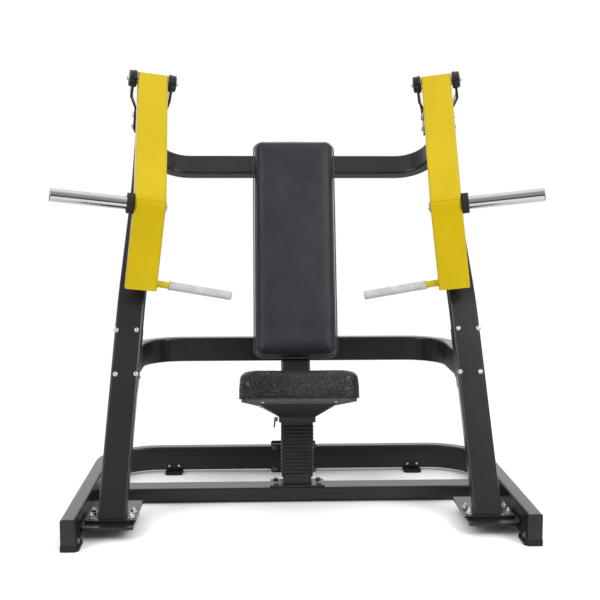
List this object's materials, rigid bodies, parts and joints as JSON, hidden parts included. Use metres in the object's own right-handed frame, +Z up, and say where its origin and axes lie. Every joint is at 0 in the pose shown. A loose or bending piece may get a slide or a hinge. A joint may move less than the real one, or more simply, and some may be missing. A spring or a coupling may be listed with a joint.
{
  "type": "chest press machine",
  "caption": "Plate-loaded seated chest press with pivoting press arms, weight horns, back pad and height-adjustable seat on a welded tube frame.",
  "frame": {"origin": "centre of the footprint at floor level", "axes": "+Z up; the user faces -Y, so the open front of the floor frame is at -Y; +X runs across the machine"},
  "size_m": [1.7876, 1.0955, 1.6747],
  "materials": {
    "black_powder_coat": "satin black powder coat",
    "yellow_powder_coat": "semi-gloss yellow powder coat",
    "black_leatherette": "grained black leatherette",
    "chrome": "bright chrome plate",
    "black_rubber": "matt black rubber",
    "grey_grip": "light grey moulded grip",
    "pad_board": "plywood under dark backing cloth",
    "bearing_steel": "ground steel",
    "black_plastic": "moulded black end cap"
  },
  "bodies": {
    "frame": {"base_frame": "black_powder_coat", "base_cross_tube": "black_powder_coat", "foot_front_left": "black_rubber", "foot_rear_left": "black_rubber", "rail_shelf_left": "black_powder_coat", "upright_left": "black_powder_coat", "upright_foot_plate_left": "black_powder_coat", "upright_cap_left": "black_plastic", "ear_plate_inner_left": "black_powder_coat", "bearing_inner_left": "bearing_steel", "ear_plate_outer_left": "black_powder_coat", "bearing_outer_left": "bearing_steel", "arm_stop_left": "black_rubber", "mid_crossbar_flange_left": "black_powder_coat", "top_crossbar_flange_left": "black_powder_coat", "foot_front_right": "black_rubber", "foot_rear_right": "black_rubber", "rail_shelf_right": "black_powder_coat", "upright_right": "black_powder_coat", "upright_foot_plate_right": "black_powder_coat", "upright_cap_right": "black_plastic", "ear_plate_inner_right": "black_powder_coat", "bearing_inner_right": "bearing_steel", "ear_plate_outer_right": "black_powder_coat", "bearing_outer_right": "bearing_steel", "arm_stop_right": "black_rubber", "mid_crossbar_flange_right": "black_powder_coat", "top_crossbar_flange_right": "black_powder_coat", "mid_crossbar": "black_powder_coat", "top_crossbar": "black_powder_coat", "pad_column": "black_powder_coat", "column_top_flange": "black_powder_coat", "column_clamp_front": "black_powder_coat", "column_clamp_rear": "black_powder_coat", "column_brace": "black_powder_coat", "pad_bracket_lower": "black_powder_coat", "pad_bracket_upper": "black_powder_coat", "back_pad": "black_leatherette", "back_pad_board": "pad_board", "seat_post_flange": "black_powder_coat", "seat_post_outer": "black_powder_coat", "post_bellows": "black_rubber"},
    "seat": {"seat_post_inner": "chrome", "seat_bracket": "black_powder_coat", "seat_board": "pad_board", "seat_cushion": "black_leatherette"},
    "seat_lever": {"seat_lever": "chrome"},
    "arm_left": {"arm_left": "yellow_powder_coat", "pivot_shaft_left": "bearing_steel", "weight_horn_left": "chrome", "horn_collar_left": "black_rubber", "handle_rod_left": "yellow_powder_coat", "hand_grip_left": "grey_grip"},
    "arm_right": {"arm_right": "yellow_powder_coat", "pivot_shaft_right": "bearing_steel", "weight_horn_right": "chrome", "horn_collar_right": "black_rubber", "handle_rod_right": "yellow_powder_coat", "hand_grip_right": "grey_grip"}
  },
  "joints": [
    {"name": "press_left", "type": "hinge", "parent": "frame", "child": "arm_left", "pos_m": [-0.56, 0.2172, 1.633], "axis": [-0.9735, -0.1996, 0.1119], "range_deg": [0, 45]},
    {"name": "press_right", "type": "hinge", "parent": "frame", "child": "arm_right", "pos_m": [0.56, 0.2172, 1.633], "axis": [-0.9735, 0.1996, -0.1119], "range_deg": [0, 45]},
    {"name": "seat_height", "type": "slide", "parent": "frame", "child": "seat", "axis": [0, 0, 1], "range_m": [-0.04, 0.05], "deforming": ["post_bellows"]},
    {"name": "seat_lever_pull", "type": "hinge", "parent": "seat", "child": "seat_lever", "pos_m": [-0.071, 0.0162, 0.323], "axis": [0, 1, 0], "range_deg": [0, 20], "stiffness_Nm_per_rad": 0.3}
  ]
}
